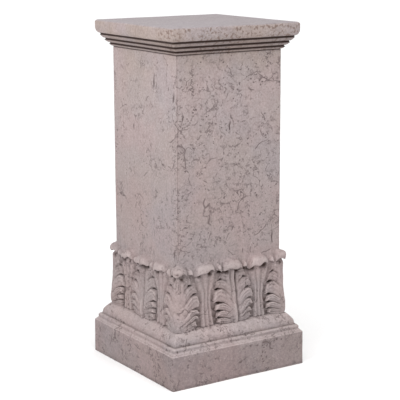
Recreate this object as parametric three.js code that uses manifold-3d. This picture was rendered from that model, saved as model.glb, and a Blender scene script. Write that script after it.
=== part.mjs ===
// A square pedestal of cast stone, one solid piece: a plinth, a base moulding, a band of acanthus
// leaves whose tips curl over, a plain square shaft, a cornice of rounded reeds and a slab cap.
// Millimetres, +Z up. The origin is the middle of the underside, and the faces look along X and Y.
import * as THREE from "three";
import { mergeVertices } from "three/addons/utils/BufferGeometryUtils.js";
import Module from "manifold-3d";

// Plinth.
const PLINTH_WIDTH = 356;
const PLINTH_HEIGHT = 78;
const PLINTH_CORNER = 3;
const PLINTH_EDGE = 2;

// Base moulding: a weathered slope, a small ledge, and a soft ovolo under the leaves.
const SLOPE_IN = 9;
const SLOPE_RISE = 15;
const LEDGE_IN = 4.3;
const LEDGE_RISE = 2;
const OVOLO_UPRIGHT = 8.5;
const OVOLO_LEAN = 1.7;
const OVOLO_IN = 17;
const OVOLO_RISE = 20;
const OVOLO_BULGE = 1.25;
const MOULDING_CORNER = 4;

// Shaft, from the top of the ovolo to the lowest reed of the cornice.
const SHAFT_WIDTH = 275;
const SHAFT_HEIGHT = 606.5;
const SHAFT_CORNER = 2.5;

// Cornice: rounded reeds, each further out than the one below, with a groove over each.
const REED_COUNT = 3;
const REED_RISE = 9.4;
const FIRST_REED_OUT = 10.5;
const REED_STEP = 6;
const REED_ROUND = 5;
const REED_GROOVE_WIDTH = 1.6;
const REED_GROOVE_DEPTH = 2;

// Slab cap: a quarter round up to its face, then a soft top edge.
const CAP_HEIGHT = 31.8;
const CAP_OUT = 8;
const CAP_ROUND_RISE = 14;
const CAP_EDGE = 4;

// Leaf band. Large leaves stand at the corners and at the middle of each face, and a narrower
// leaf looks out between each two. "Out" is measured from the shaft's face.
const BAND_SINK = 4; // how far the band's foot starts below the top of the ovolo
const NECK_RISE = 122; // from the band's foot to the neck under the curled tips
const FOOT_OUT = 10.5; // a large leaf's middle at its foot, its belly and its neck
const BELLY_OUT = 13.5;
const NECK_OUT = 7.5;
const BELLY_RISE = 32;
const CORNER_LEAF_OUT = 2; // a corner leaf stands this much prouder
const GROUND_OUT = 3.5; // the ground behind the leaves
const LEAF_CROWN = 3; // how much lower a large leaf's edge lies than its middle
const MIDRIB_HALF = 5;
const MIDRIB_HEIGHT = 1.8;
const SPINE_HALF = 11; // the plain middle of a large leaf, where its lobes begin
const LEAF_EDGE = 2.4; // the width of a leaf's rounded edge
const LOBE_START = 14; // how far past the spine the lobes take to reach their full relief

// The lobes of a large leaf from its foot up: the notch below each lobe, how far out the leaf
// reaches in that notch, and how far out it reaches across the lobe.
const NOTCH_RISES = [0, 20, 39, 59, 91];
const NOTCH_REACHES = [44, 45, 45, 45, 38];
const LOBE_REACHES = [54, 58, 58, 57, 49];
const NECK_REACH = 33;
const LOBE_SWELL = 3.4; // how far a lobe's crest stands above its notches
const EYE_DEPTH = 4.5; // the extra depth of a notch at the leaf's edge
const LOBE_SINK = 0.45; // how far a lobe's lines sink towards the midrib, as a share of their rise
const LOBE_DROOP = 7; // how far a lobe's tip hangs below its crest

// The narrow leaf between two large ones.
const BACK_FOOT_HALF = 17;
const BACK_WAIST_HALF = 14;
const BACK_HOOD_HALF = 31;
const BACK_OUT = 9;
const BACK_WAIST_DEPTH = 1.5; // how far its face sinks at the waist
const BACK_WAIST_RISE = 62;
const BACK_GROOVE = 2.2;

// Curled tips. A hood's points are [out from the neck, up from the neck], and it ends on the shaft.
const HOOD_POINTS = [
  [1, 8],
  [6.2, 6],
  [9, 11.5],
  [7, 19.5],
  [0, 27.5],
];
const HOOD_RISE = 35;
const HOOD_GAP_RISE = 22; // the last point's height between two hoods, and where the shaft starts
const HOOD_GAP_TOP = 24;
const LARGE_HOOD_HALF = 31;
const BACK_HOOD_STRENGTH = 0.85;
const FRINGE_STRENGTH = 0.32; // the lip that runs on between two hoods
const HOOD_DIP_PLACE = 16; // a hood has a middle lobe and two side ones, with a dip between
const HOOD_DIP_HALF = 4;
const HOOD_DIP = 0.22;
const BURY = 1; // how far the band's hidden edges lie inside the shaft

const UP = new THREE.Vector3(0, 0, 1);
const shaftHalf = SHAFT_WIDTH / 2;
const slopeTop = PLINTH_HEIGHT + SLOPE_RISE;
const ovoloFoot = slopeTop + LEDGE_RISE + OVOLO_UPRIGHT;
const ovoloTop = ovoloFoot + OVOLO_RISE;
const corniceFoot = ovoloTop + SHAFT_HEIGHT;
const capFoot = corniceFoot + REED_COUNT * REED_RISE;
const capTop = capFoot + CAP_HEIGHT;
const bandFoot = ovoloTop - BAND_SINK;

const wasm = await Module();
wasm.setup();

const mix = (a, b, t) => a + (b - a) * t;
const share = (from, to, x) => Math.min(1, Math.max(0, (x - from) / (to - from)));
const smooth = (t) => t * t * (3 - 2 * t);

// A closed surface through rings of equally many points: capped at both ends, or joined round
// from the last ring to the first.
function ringMesh(rings, capped) {
  const count = rings[0].length;
  const vertices = [];
  const triangles = [];
  const add = (p) => {
    vertices.push(p.x, p.y, p.z);
    return vertices.length / 3 - 1;
  };
  const index = rings.map((ring) => ring.map(add));
  const steps = capped ? rings.length - 1 : rings.length;
  for (let r = 0; r < steps; r++) {
    const low = index[r];
    const high = index[(r + 1) % rings.length];
    for (let c = 0; c < count; c++) {
      const d = (c + 1) % count;
      triangles.push(low[c], low[d], high[d], low[c], high[d], high[c]);
    }
  }
  if (capped) {
    const foot = add(new THREE.Vector3(0, 0, rings[0][0].z));
    const top = add(new THREE.Vector3(0, 0, rings.at(-1)[0].z));
    for (let c = 0; c < count; c++) {
      const d = (c + 1) % count;
      triangles.push(foot, index[0][d], index[0][c]);
      triangles.push(top, index.at(-1)[c], index.at(-1)[d]);
    }
  }
  const geometry = new THREE.BufferGeometry();
  geometry.setAttribute("position", new THREE.Float32BufferAttribute(vertices, 3));
  geometry.setIndex(triangles);
  return geometry;
}

function solid(geometry) {
  const merged = mergeVertices(geometry);
  return new wasm.Manifold(
    new wasm.Mesh({
      numProp: 3,
      vertProperties: merged.attributes.position.array,
      triVerts: new Uint32Array(merged.index.array),
    }),
  );
}

function geometryOf(manifold) {
  const mesh = manifold.getMesh();
  const geometry = new THREE.BufferGeometry();
  geometry.setAttribute("position", new THREE.BufferAttribute(mesh.vertProperties, 3));
  geometry.setIndex(new THREE.BufferAttribute(mesh.triVerts, 1));
  geometry.computeVertexNormals();
  return geometry;
}

// The plain body's section, from the foot up, as [half width, height, corner radius].
function plinthSection() {
  const half = PLINTH_WIDTH / 2;
  return [
    [half, 0, PLINTH_CORNER],
    [half, PLINTH_HEIGHT - PLINTH_EDGE, PLINTH_CORNER],
    [half - PLINTH_EDGE / 2, PLINTH_HEIGHT, PLINTH_CORNER],
    [half - SLOPE_IN, slopeTop, MOULDING_CORNER],
  ];
}

function ovoloSection() {
  const ledge = PLINTH_WIDTH / 2 - SLOPE_IN - LEDGE_IN;
  const points = [[ledge, slopeTop + LEDGE_RISE, MOULDING_CORNER]];
  const steps = 6;
  for (let i = 0; i <= steps; i++) {
    const t = i / steps;
    points.push([
      ledge - OVOLO_LEAN - OVOLO_IN * t ** OVOLO_BULGE,
      ovoloFoot + OVOLO_RISE * t,
      MOULDING_CORNER,
    ]);
  }
  return points;
}

function shaftSection() {
  return [
    [shaftHalf, ovoloTop, SHAFT_CORNER],
    [shaftHalf, corniceFoot, SHAFT_CORNER],
  ];
}

function corniceSection() {
  const points = [];
  for (let i = 0; i < REED_COUNT; i++) {
    const face = shaftHalf + FIRST_REED_OUT + i * REED_STEP;
    const foot = corniceFoot + i * REED_RISE;
    const top = foot + REED_RISE - REED_GROOVE_WIDTH;
    points.push([face - REED_ROUND, foot + (i === 0 ? REED_GROOVE_WIDTH : 0), MOULDING_CORNER]);
    points.push([face - REED_ROUND * 0.25, foot + REED_ROUND * 0.6, MOULDING_CORNER]);
    points.push([face, foot + REED_ROUND, MOULDING_CORNER]);
    points.push([face, top, MOULDING_CORNER]);
    points.push([face - REED_GROOVE_DEPTH, top, MOULDING_CORNER]);
    points.push([face - REED_GROOVE_DEPTH, foot + REED_RISE, MOULDING_CORNER]);
  }
  return points;
}

function capSection() {
  const foot = shaftHalf + FIRST_REED_OUT + (REED_COUNT - 1) * REED_STEP;
  const face = foot + CAP_OUT;
  const points = [];
  const steps = 4;
  for (let i = 0; i <= steps; i++) {
    const turn = (i / steps) * (Math.PI / 2);
    points.push([
      mix(foot, face, Math.sin(turn)),
      capFoot + CAP_ROUND_RISE * (1 - Math.cos(turn)),
      MOULDING_CORNER,
    ]);
  }
  points.push([face, capTop - CAP_EDGE, MOULDING_CORNER]);
  points.push([face - CAP_EDGE * 0.3, capTop - CAP_EDGE * 0.3, MOULDING_CORNER]);
  points.push([face - CAP_EDGE, capTop, MOULDING_CORNER]);
  return points;
}

// A point of a rounded square's corner, turned 0 to 90 degrees from the side before it.
function cornerPoint(side, turn, half, radius, height) {
  const angle = turn - Math.PI / 2;
  const x = half - radius + radius * Math.cos(angle);
  const y = radius - half + radius * Math.sin(angle);
  return new THREE.Vector3(x, y, height).applyAxisAngle(UP, side * (Math.PI / 2));
}

function plainBody() {
  const section = [
    ...plinthSection(),
    ...ovoloSection(),
    ...shaftSection(),
    ...corniceSection(),
    ...capSection(),
  ];
  const turns = [0, Math.PI / 4, Math.PI / 2];
  const rings = section.map(([half, height, radius]) =>
    [0, 1, 2, 3].flatMap((side) => turns.map((turn) => cornerPoint(side, turn, half, radius, height))),
  );
  return solid(ringMesh(rings, true));
}

// Places along the band are measured from the middle of the front face, on the leaves' faces.
const straightHalf = shaftHalf - SHAFT_CORNER;
const cornerRadius = SHAFT_CORNER + FOOT_OUT;
const leafPitch = (straightHalf + cornerRadius * (Math.PI / 4)) / 2;

function bandPoint(place, out, height) {
  const side = Math.round(place / (4 * leafPitch));
  const local = place - side * 4 * leafPitch;
  const turn = Math.sign(local) * Math.max(0, (Math.abs(local) - straightHalf) / cornerRadius);
  const straight = Math.min(straightHalf, Math.max(-straightHalf, local));
  const radius = SHAFT_CORNER + out;
  const x = straight + radius * Math.sin(turn);
  const y = -straightHalf - radius * Math.cos(turn);
  return new THREE.Vector3(x, y, height).applyAxisAngle(UP, side * (Math.PI / 2));
}

// Rows of the band from its foot up. A row knows how far the large leaf reaches in it, how high
// it stands, where it is on its lobe (0 in a notch, 1 on the crest) and its place on the hood.
const LOBE_ROWS = [
  { up: 0, crest: 0 },
  { up: 0.28, crest: 0.75 },
  { up: 0.76, crest: 1 },
];

function bandRows() {
  const rows = [];
  NOTCH_RISES.forEach((rise, i) => {
    const next = NOTCH_RISES[i + 1] ?? NECK_RISE;
    for (const { up, crest } of LOBE_ROWS) {
      const reach = crest > 0 ? LOBE_REACHES[i] : NOTCH_REACHES[i];
      rows.push({ rise: mix(rise, next, up), reach, crest, hood: null });
    }
  });
  rows.push({ rise: NECK_RISE, reach: NECK_REACH, crest: 0.3, hood: [0, 0] });
  for (const hood of HOOD_POINTS) {
    rows.push({ rise: NECK_RISE, reach: LARGE_HOOD_HALF, crest: 0.3, hood });
  }
  return rows;
}

function backHalf(rise) {
  const foot = smooth(share(0, BACK_WAIST_RISE, rise));
  const top = smooth(share(BACK_WAIST_RISE, NECK_RISE, rise));
  return mix(mix(BACK_FOOT_HALF, BACK_WAIST_HALF, foot), BACK_HOOD_HALF, top);
}

// Columns of half a large leaf and half its narrow neighbour, from the large leaf's axis out.
function columnsOf(row) {
  const edge = row.reach;
  const inner = edge - LEAF_EDGE;
  const back = row.hood ? BACK_HOOD_HALF : backHalf(row.rise);
  const backEdge = Math.max(edge + LEAF_EDGE, leafPitch - back);
  const backInner = backEdge + LEAF_EDGE;
  return [
    { place: 0, leaf: "large" },
    { place: MIDRIB_HALF, leaf: "large" },
    { place: SPINE_HALF, leaf: "large" },
    { place: mix(SPINE_HALF, inner, 0.36), leaf: "large" },
    { place: mix(SPINE_HALF, inner, 0.72), leaf: "large" },
    { place: inner, leaf: "large" },
    { place: edge, leaf: "ground" },
    { place: backEdge, leaf: "ground" },
    { place: backInner, leaf: "back" },
    { place: mix(backInner, leafPitch, 0.5), leaf: "back" },
    { place: leafPitch, leaf: "back" },
  ];
}

function largeMiddleOut(rise) {
  const belly = smooth(share(0, BELLY_RISE, rise));
  const neck = smooth(share(BELLY_RISE, NECK_RISE, rise));
  return mix(mix(FOOT_OUT, BELLY_OUT, belly), NECK_OUT, neck);
}

function largeOut(place, row) {
  const across = place / row.reach;
  const lobes = share(SPINE_HALF, SPINE_HALF + LOBE_START, place);
  const crown = -LEAF_CROWN * across ** 2;
  const swell = LOBE_SWELL * lobes * (row.crest - 0.5);
  const eye = -EYE_DEPTH * (1 - row.crest) * share(0.6, 1, across);
  const rib = place < MIDRIB_HALF ? MIDRIB_HEIGHT / 2 : 0;
  const groove = place === MIDRIB_HALF ? -MIDRIB_HEIGHT / 2 : 0;
  return largeMiddleOut(row.rise) + crown + swell + eye + rib + groove;
}

function backOut(place, row) {
  const fromAxis = leafPitch - place;
  const groove = fromAxis > 0 && fromAxis < backHalf(row.rise) * 0.7 ? BACK_GROOVE : 0;
  const waist = smooth(share(BACK_WAIST_RISE, 0, Math.abs(row.rise - BACK_WAIST_RISE)));
  return BACK_OUT - groove - BACK_WAIST_DEPTH * waist;
}

// A lobe's lines rise from the midrib, arch over and hang at the leaf's edge.
function lineDrop(place, row) {
  const upper = (row.rise / NECK_RISE) ** 3;
  const crestPlace = mix(SPINE_HALF, row.reach, 0.78);
  const inward = 1 - Math.sin(share(0, crestPlace, place) * (Math.PI / 2));
  const outward = share(crestPlace, row.reach, place) * share(leafPitch, row.reach, place);
  return row.rise * LOBE_SINK * (1 - upper) * inward + LOBE_DROOP * outward * row.crest;
}

// How strongly a place along the band is drawn out into a hood.
function hoodStrength(place) {
  const dome = (fromAxis, half) => {
    const dip = HOOD_DIP * Math.exp(-(((fromAxis - HOOD_DIP_PLACE) / HOOD_DIP_HALF) ** 2));
    return Math.sqrt(Math.max(0, 1 - (fromAxis / half) ** 2)) * (1 - dip);
  };
  const large = dome(place, LARGE_HOOD_HALF);
  const back = BACK_HOOD_STRENGTH * dome(leafPitch - place, BACK_HOOD_HALF);
  return Math.max(FRINGE_STRENGTH, large, back);
}

function rowPoint(column, row, proud) {
  const { place, leaf } = column;
  const faces = { large: largeOut, back: backOut, ground: () => GROUND_OUT };
  const flat = faces[leaf](place, row) + proud * (leaf === "large" ? 1 : 0);
  if (!row.hood) return { out: flat, rise: row.rise - lineDrop(place, row) };
  const strength = hoodStrength(place);
  const top = HOOD_POINTS.at(-1)[1];
  const gapOut = GROUND_OUT * (1 - row.hood[1] / top);
  const gapRise = (HOOD_GAP_RISE * row.hood[1]) / top;
  const neck = NECK_OUT + proud;
  return {
    out: mix(gapOut, neck + row.hood[0], strength),
    rise: row.rise + mix(gapRise, row.hood[1], strength),
  };
}

// A ring of the band, from a function that gives a column's place out and up in it.
function bandRing(row, pointOf) {
  const right = columnsOf(row);
  const left = right.slice(1, -1).reverse();
  const ring = [];
  for (let leaf = 0; leaf < 8; leaf++) {
    const axis = leaf * 2 * leafPitch;
    const proud = leaf % 2 === 1 ? CORNER_LEAF_OUT : 0;
    for (const [sign, columns] of [[-1, left], [1, right]]) {
      for (const column of columns) {
        const { out, rise } = pointOf(column, row, proud);
        ring.push(bandPoint(axis + sign * column.place, out, bandFoot + rise));
      }
    }
  }
  return ring;
}

// The band's hidden edges: its foot in the ovolo, and its top just inside the shaft's face.
function footPoint() {
  return { out: -BURY, rise: 0 };
}

function topPoint(column) {
  const top = mix(HOOD_GAP_TOP, HOOD_RISE, hoodStrength(column.place));
  return { out: -BURY, rise: NECK_RISE + top };
}

function leafBand() {
  const rows = bandRows();
  const rings = [
    bandRing(rows[0], footPoint),
    ...rows.map((row) => bandRing(row, rowPoint)),
    bandRing(rows.at(-1), topPoint),
  ];
  return solid(ringMesh(rings, false));
}

const castStone = new THREE.MeshStandardMaterial({ color: 0xa89c96, roughness: 0.85, metalness: 0 });

const pedestal = new THREE.Mesh(geometryOf(plainBody().add(leafBand())), castStone);
pedestal.name = "pedestal";

const object = new THREE.Group();
object.add(pedestal);

export default object;
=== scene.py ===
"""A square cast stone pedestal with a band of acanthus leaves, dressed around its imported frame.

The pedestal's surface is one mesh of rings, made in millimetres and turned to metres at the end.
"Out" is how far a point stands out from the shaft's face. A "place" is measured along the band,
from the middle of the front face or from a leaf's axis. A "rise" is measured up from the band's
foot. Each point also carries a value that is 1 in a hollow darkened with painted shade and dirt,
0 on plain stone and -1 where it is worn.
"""
import math

import bpy
import numpy as np
from mathutils import Matrix, Vector


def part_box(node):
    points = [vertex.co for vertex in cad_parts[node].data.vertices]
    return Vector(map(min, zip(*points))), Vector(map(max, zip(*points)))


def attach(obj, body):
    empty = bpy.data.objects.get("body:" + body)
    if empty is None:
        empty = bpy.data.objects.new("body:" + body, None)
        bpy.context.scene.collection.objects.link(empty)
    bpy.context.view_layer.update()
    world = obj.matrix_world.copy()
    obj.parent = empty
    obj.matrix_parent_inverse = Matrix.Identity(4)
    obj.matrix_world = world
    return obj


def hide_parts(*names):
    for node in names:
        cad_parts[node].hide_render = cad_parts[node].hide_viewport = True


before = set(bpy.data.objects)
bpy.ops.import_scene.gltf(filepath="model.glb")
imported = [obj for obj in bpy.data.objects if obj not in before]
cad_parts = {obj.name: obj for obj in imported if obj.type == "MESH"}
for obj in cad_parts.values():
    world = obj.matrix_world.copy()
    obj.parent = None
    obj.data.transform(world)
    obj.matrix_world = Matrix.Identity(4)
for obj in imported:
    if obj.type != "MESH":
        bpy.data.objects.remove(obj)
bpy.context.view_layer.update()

MM = 0.001
NODE = "pedestal"
PIECE = "cast_pedestal"
SEED = 41

# The plinth's half width and the whole height come from the frame's box.
node_low, node_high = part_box(NODE)
PLINTH_HALF = (node_high[0] - node_low[0]) / 2 / MM
TOTAL_HEIGHT = (node_high[2] - node_low[2]) / MM

# The plinth and the mouldings over it.
PLINTH_HEIGHT = 78
PLINTH_CORNER = 3
PLINTH_EDGE = 2
PLINTH_EDGE_IN = 1.4
PLINTH_EDGE_GRIME = -0.3
SLOPE_IN = 9
SLOPE_RISE = 15
SLOPE_HOLLOW = 1.8
SLOPE_HOLLOW_SPAN = [0.42, 0.2]  # its middle and half width, as shares of the slope
SLOPE_BEAD = 1
SLOPE_BEAD_SPAN = [0.8, 0.16]
LEDGE_IN = 4.3
LEDGE_RISE = 2
LEDGE_GROOVE = [[0.8, 0.3, 0.35], [-0.6, 0.9, 0.45], [0, LEDGE_RISE, 0.1]]  # out, up, painted shade and dirt in the groove
OVOLO_UPRIGHT = 8.5
OVOLO_LEAN = 1.7
OVOLO_IN = 17
OVOLO_RISE = 20
OVOLO_BULGE = 1.25
OVOLO_PLAIN = 0.8  # the share of its rise that has plain rings, below the leaves
MOULDING_CORNER = 4

# The shaft, the cornice and the cap.
SHAFT_HALF = 137.5
SHAFT_CORNER = 2.5
SHAFT_GAP = 12  # from the band's top to the shaft's first plain ring
SHAFT_TOP_ROWS = [3, 1]  # how far below the cornice its last two rings are
# Painted shade just under the cornice, on the shaft's last ring.
SHAFT_TOP_SHADE = 0.3
ARRIS_GRIME = 0.4  # on the shaft's upright corners
ARRIS_HALF = 5
CORNICE_JOIN = [-1.2, -0.4, 0.9]  # the dark line at its foot, of painted shade and dirt, as out, up and darkness
REED_RISES = [8.6, 9.9, 11.5]  # from the lowest reed up
FIRST_REED_OUT = 7.5
REED_STEP = 7.5
REED_UNDERSIDE = [[0.1, 0, 1], [0.8, 0.3, 0.8]]  # share of the way out, up, painted shade and dirt under the reed
REED_FOOT = 0.5
REED_LEAN = 5
REED_ROUND = 1.6
REED_CURVE = 1.3
REED_GRIME = 0.15
# Each reed's upper edge gets painted shade and dirt, as part of the dark line under the reed over
# it.
REED_EDGE_SHADE = 0.7
REED_GROOVE_WIDTH = 3
REED_GROOVE_DEPTH = 2
REED_GROOVE_ROUND = 0.3
CAP_HEIGHT = 30
CAP_OUT = 8
CAP_ROUND_RISE = 14
CAP_EDGE = 5.5

# How many rows the plain parts have.
PLINTH_ROWS = 8
PLINTH_EDGE_ROWS = 4
SLOPE_ROWS = 13
OVOLO_ROWS = 9
SHAFT_ROWS = 30
REED_ROWS = 5
CAP_ROUND_ROWS = 7
CAP_FACE_ROWS = 4
CAP_EDGE_ROWS = 8
CAP_TOP_ROWS = 14

# Leaf band: large leaves at the corners and the middles of the faces, a narrow one between two.
LEAVES = 8
BAND_SINK = 4
BAND_LIFT = 0.6
NECK_RISE = 122
FOOT_OUT = 10.5
BELLY_OUT = 13.5
BELLY_RISE = 32
NECK_OUT = 7.5
GROUND_OUT = 2.2
GROUND_WIDTH = 2  # the least between two leaves
# The rings that lead to the band's foot, and those over it.
FOOT_GAP = 1.2
# Painted shadow along the band's foot, where the leaves meet the ovolo.
FOOT_SHADOW = 0.6
BLEND_START = 2
BLEND_RISE = 6

# The face and the midrib of a large leaf.
LEAF_CROWN = 3
LEAF_FOOT_RISE = 10
LEAF_EDGE = 0.9  # where it starts to round over, as a share of its reach
MIDRIB_HALF = 3.6
MIDRIB_HEIGHT = 2.9
MIDRIB_GROOVES = [0.5, 3.2]  # how deep they are on its left and on its right
MIDRIB_GROOVE_AT = 1.9  # in half widths of the midrib
MIDRIB_GROOVE_HALF = 2.3
MIDRIB_RIDGE = 0.8  # beyond the groove
MIDRIB_RIDGE_AT = 3
MIDRIB_RIDGE_HALF = 2.4
SPINE_HALF = 11

# The lobes on the left and on the right of a large leaf: where each begins and ends, and its reach.
LOBES = 6
NOTCH_RISES = [[0, 15, 32, 50, 80, 102, NECK_RISE], [0, 16, 29, 46, 76, 100, NECK_RISE]]
LOBE_REACHES = [[49, 52, 53, 55, 49, 36], [47, 51, 54, 56, 50, 36]]
NOTCH_REACHES = [39, 39, 39, 39, 38, 34, 30]
# A lobe is drawn with lines across the leaf. A line's share of its lobe is 0 at the lower notch.
LOBE_OPENING = 0.35  # the share of the lines in which the lobe opens to its whole reach
LOBE_TOP = 0.66  # where the lobe's rounded end begins
LOBES_START = [SPINE_HALF - 3, SPINE_HALF + 14]
LOBE_SWELL = 5.4
SWELL_RISES = [0, 0.8]
SWELL_FALLS = [0.9, 1]
SWELL_AT_FOOT = 0.7
SWELL_MEAN = 0.5
LOBE_GROOVE = 1.6
LOBE_GROOVE_ABOVE = 1.5  # how far it reaches over a notch
LOBE_GROOVE_BELOW = 0.04  # and below it, as a share of the lines
EYE_DEPTH = 7.5
EYE_RISE = 1.8
EYE_HALF = 3
EYES_START = [0.76, 0.92]  # as shares of the leaf's reach
# How the lines run: down to their roots beside the midrib, and hooked at the leaf's edge.
LOBE_ROOTS = [40, 60]  # how far below its crest a line begins, on the left and on the right
ROOT_SLOPE = 0.95
LOBE_ROOT_CURVE = 0.8
LOBE_FADE = 5
LOBE_CRESTS = [0.66, 0.72]
LOBE_HOOKS = [4.5, 0.5]  # how far a line turns down at the left and at the right edge
HOOK_RISE = 30
LOBE_DROOP = 0.4  # how much further a lobe's tip hangs, as a share of the lobe's height
# The grooves between a lobe's fingers, as [share of the lines, depth]; the upper makes a rim.
FINGERS = [[0.46, 1.5], [0.8, 2.6]]
FINGER_HALF = 0.07
FINGER_SCALLOP = 1.2
FINGERS_START = [0.3, 0.55]
FINGERS_END = [1.05, 0.85]
# The upright folds under the leaf's curled tip.
PLEAT_DEPTH = 2.4
PLEAT_WIDTH = 12
PLEAT_RISES = [84, NECK_RISE - 6]
PLEATS_END = [0.95, 0.7]

# The narrow leaf, which is seen from its back.
BACK_FOOT_HALF = 17
BACK_WAIST_HALF = 12
BACK_TOP_HALF = 27
BACK_OUT = 9
BACK_WAIST_DEPTH = 1.5
BACK_WAIST_RISE = 62
BACK_RIBS = 1.5
BACK_GROOVE = 3
BACK_EDGE = 0.82

# Curled tips, as [out from the neck, up from the neck]; the lip hangs lowest.
HOOD_POINTS = [
    [0, 0], [-1.6, 4.5], [-1.4, 9.4], [3.4, 9.8], [6.8, 5], [9.4, 5.8],
    [10.6, 10.4], [9.8, 15.6], [7.2, 20.6], [3, 24.4], [-2, 26.6], [-5.4, 28],
]
LIP_POINT = 4
HOOD_TOP = 30
HOOD_EDGE = 31
HOOD_ROUNDNESS = 2.6
# Each curled lobe is [place, half width, strength]: the large leaf's, a bud, the narrow leaf's.
HOOD_LOBES = [[0, 26.5, 1], [35, 6.5, 0.55], [72.6, 27.5, 0.94]]
# The shares of the hood's line in which its columns spread and its points move out from the neck.
HOOD_SPREADS = [0, 0.4]
HOOD_OPENS = [0, 0.2]
LIP_SCALLOP = 2.4
LIP_SCALLOP_WIDTH = 13
LIP_TILT = 3.5
LIP_TILT_PLACES = [27, 45]  # where the lip is highest and lowest, right of a large leaf
LIP_WAVE_HALF = 0.18
# The deep spots under the lips.
SPOT_DEPTH = 4
SPOT_WIDTH = 13
SPOT_HALF_HEIGHT = 6
SPOT_LUMPS = [0.05, 0.4]
SPOT_SCALLOPS = [0.2, 0.9]
SPOT_SCALLOP_SHARE = 0.6

# A corner leaf has little of its midrib, stands further out, and its tip is lifted and drawn in.
CORNER_RIB_SHARE = 0.1
CORNER_LEAF_OUT = 2
CORNER_HOOD_RISE = 4
CORNER_HOOD_IN = 4
CORNER_PLACES = [45, 15]
CORNER_ENDS = [NECK_RISE + HOOD_TOP, NECK_RISE + 8]
CORNER_LIFTS = [NECK_RISE - 25, NECK_RISE]
CORNER_DRAWN = [NECK_RISE - 5, NECK_RISE + 6]

# On the front face the carving leans: how far it is moved along at its foot, a leaf pitch apart.
FRONT_SHIFTS = [0, 9, 10, 4, 0]
TOP_SHIFT_SHARE = 0.25

# How far the carving strays, so that no two leaves are quite alike, and the size of its lumps.
PLACE_STRAY = 2.8
PLACE_LUMPS = 26
OUT_STRAY = 0.7
OUT_LUMPS = 17
RISE_STRAY = 2.6
RISE_LUMPS = [24, 60]
HOOD_STRAY = 1.6
HOOD_LUMPS = 13
HOOD_MIDDLE = [14, 9]  # up from the neck, and half height
LIP_STRAY = 4
LIP_LUMPS = 14
LIP_HALF_HEIGHT = 7
STRAY_ENDS = 14  # how far from the band's foot and top the strays begin

# The slight unevenness of the whole casting, as [height, size of its lumps].
WAVES = [[0.55, 90], [0.3, 31], [0.16, 11]]
LEVEL_WAVE = [0.25, 60]  # up and down, which starts over the floor
LEVEL_START = 20

# How deep the band's hollows are that get painted shade and dirt, how high its worn ridges, and the
# painted shade under its lips.
BLUR_REACH = 4
HOLLOW_DEPTHS = [0.8, 4.5]
RIDGE_HEIGHTS = [0.4, 3]
LIP_SHADE = 0.75
LIP_SHADE_ROWS = 5
LIP_SHADE_OUTS = [5, 15]

# How finely the band and the plain parts are divided.
ROWS_PER_LOBE = 17
ROW_EASE = 0.4  # how much closer the rows are at a lobe's top
HOOD_ROWS = 22
LARGE_COLUMNS = 24
GROUND_COLUMNS = 2
BACK_COLUMNS = 12
COLUMN_EASE = 0.35  # how much closer the columns are at a leaf's edge
FAN = 4  # columns of the band to one of the plain parts
ARC_COLUMNS = 8

slope_top = PLINTH_HEIGHT + SLOPE_RISE
ovolo_half = PLINTH_HALF - SLOPE_IN - LEDGE_IN
ovolo_foot = slope_top + LEDGE_RISE + OVOLO_UPRIGHT
ovolo_top = ovolo_foot + OVOLO_RISE
band_foot = ovolo_top - BAND_SINK
band_top = band_foot + NECK_RISE + HOOD_TOP
cap_foot = TOTAL_HEIGHT - CAP_HEIGHT
cornice_foot = cap_foot - sum(REED_RISES)

straight_half = SHAFT_HALF - SHAFT_CORNER
corner_radius = SHAFT_CORNER + FOOT_OUT
leaf_pitch = (straight_half + corner_radius * math.pi / 4) / 2
half_columns = LARGE_COLUMNS + GROUND_COLUMNS + BACK_COLUMNS
band_columns = 2 * LEAVES * half_columns
plain_columns = band_columns // FAN
leaf_row_count = LOBES * ROWS_PER_LOBE
lip_share = LIP_POINT / (len(HOOD_POINTS) - 1)
lip_rise = HOOD_POINTS[LIP_POINT][1]
lip_row = leaf_row_count + round(HOOD_ROWS * lip_share)
spot_rows = range((LOBES - 2) * ROWS_PER_LOBE, lip_row - 2)

# The stone's colours.
PINK_STONE = (0.385, 0.304, 0.298, 1)
GREY_STONE = (0.365, 0.308, 0.303, 1)
TAN_STONE = (0.36, 0.289, 0.262, 1)
BLUE_STONE = (0.316, 0.287, 0.304, 1)
VEIN_BROWN = (0.08, 0.052, 0.052, 1)
PALE_SPECK = (0.50, 0.42, 0.41, 1)
# The brown of the painted shade and dirt in hollows, grooves and under the lips.
SHADE_AND_DIRT_BROWN = (0.045, 0.024, 0.019, 1)
RUST_BROWN = (0.17, 0.11, 0.088, 1)
# Pale stone, for wear on ridges and for painted light on the base's upward slopes.
WORN_AND_LIT_STONE = (0.50, 0.42, 0.41, 1)
# Painted shade on the plinth's sides.
PLINTH_SHADE_TINT = (0.78, 0.76, 0.76, 1)
# Painted shade, darker towards the bottom.
LOW_SHADE_TINT = (0.885, 0.875, 0.877, 1)

# The heights between which the stone's look changes, in metres. FRONT_FACE is along Y.
FRONT_FACE = [-0.09, -0.137]
NEAR_CAP = [0.62, 0.76]
CAP_TOP = [0.7, 0.74]
ON_CAP = [0.722, 0.73]
IN_CORNICE = [0.72, 0.73]
LOWER_HALF = [0.72, 0.3]
ON_SHAFT = [0.27, 0.31]
BAND_FOOT = [0.115, 0.13]
BAND_TOP = [0.27, 0.25]
ON_BASE = [0.14, 0.11]
LIT_BASE = [0.2, 0.15]
SHADED_PLINTH = [0.092, 0.07]
PLINTH_SHADE_WAVE = [-0.01, 0.01]

# How many marks there are, as what is added to the noises that place them.
MARKS_ROUND = [-0.035, -0.01]  # below the shaft, and on it
MARKS_IN_FRONT = [0.015, 0.085]
MARKS_IN_BAND = [0, 0.03]
MARKS_IN_CLUSTERS = [-0.02, 0.27]

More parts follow.
